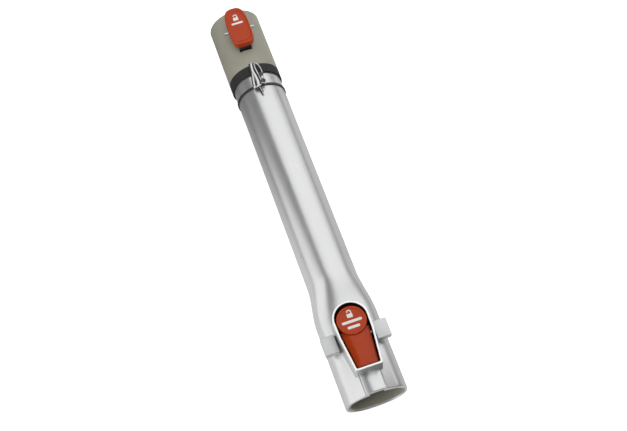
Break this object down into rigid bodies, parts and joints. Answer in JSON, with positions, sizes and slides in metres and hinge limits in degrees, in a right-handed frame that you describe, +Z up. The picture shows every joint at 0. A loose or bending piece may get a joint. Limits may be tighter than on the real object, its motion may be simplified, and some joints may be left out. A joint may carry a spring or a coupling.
{
  "type": "vacuum extension wand",
  "caption": "Short rigid vacuum wand with a round tube, an oval floor-head socket, a handle collar and rocking red release buttons that lift latch teeth.",
  "frame": {"origin": "on the floor, under the middle of the wand's length and width", "axes": "+Y along the wand towards the handle end, +Z up through the buttons, the floor-head mouth at -Y"},
  "size_m": [0.0514, 0.354, 0.055],
  "materials": {
    "silver_shell": "satin metallic silver over moulded plastic",
    "grey_liner": "moulded, dark warm grey",
    "black_rubber": "soft black rubber",
    "dark_latch": "moulded, near black",
    "red_button": "fine satin grain, brick red",
    "steel": "drawn steel wire and rod",
    "silver_clip": "satin, matched to the collar",
    "dark_screw": "blackened, domed"
  },
  "bodies": {
    "wand": {"wand_tube": "silver_shell", "socket_liner": "grey_liner", "neck_seal": "black_rubber", "wand_button_pin": "steel", "wand_button_spring": "steel", "handle_collar": "silver_shell", "collar_lock_ring": "dark_latch", "handle_sleeve": "grey_liner", "handle_seal": "black_rubber", "handle_button_pin": "steel", "handle_button_spring": "steel", "tool_clip": "silver_clip", "clip_wire": "silver_clip", "clip_screw_upper": "dark_screw", "clip_screw_lower": "dark_screw"},
    "handle_rocker": {"handle_lever": "dark_latch", "handle_button": "red_button"},
    "wand_rocker": {"wand_lever": "dark_latch", "wand_button": "red_button"}
  },
  "joints": [
    {"name": "handle_button_rock", "type": "hinge", "parent": "wand", "child": "handle_rocker", "pos_m": [0, 0.15295, 0.0494], "axis": [-1, 0, 0], "range_deg": [0, 9], "stiffness_Nm_per_rad": 0.35, "springref_deg": -5.73, "deforming": ["handle_button_spring"]},
    {"name": "wand_button_rock", "type": "hinge", "parent": "wand", "child": "wand_rocker", "pos_m": [0, -0.1345, 0.044], "axis": [-1, 0, 0], "range_deg": [0, 9], "stiffness_Nm_per_rad": 0.4, "springref_deg": -5.73, "deforming": ["wand_button_spring"]}
  ]
}
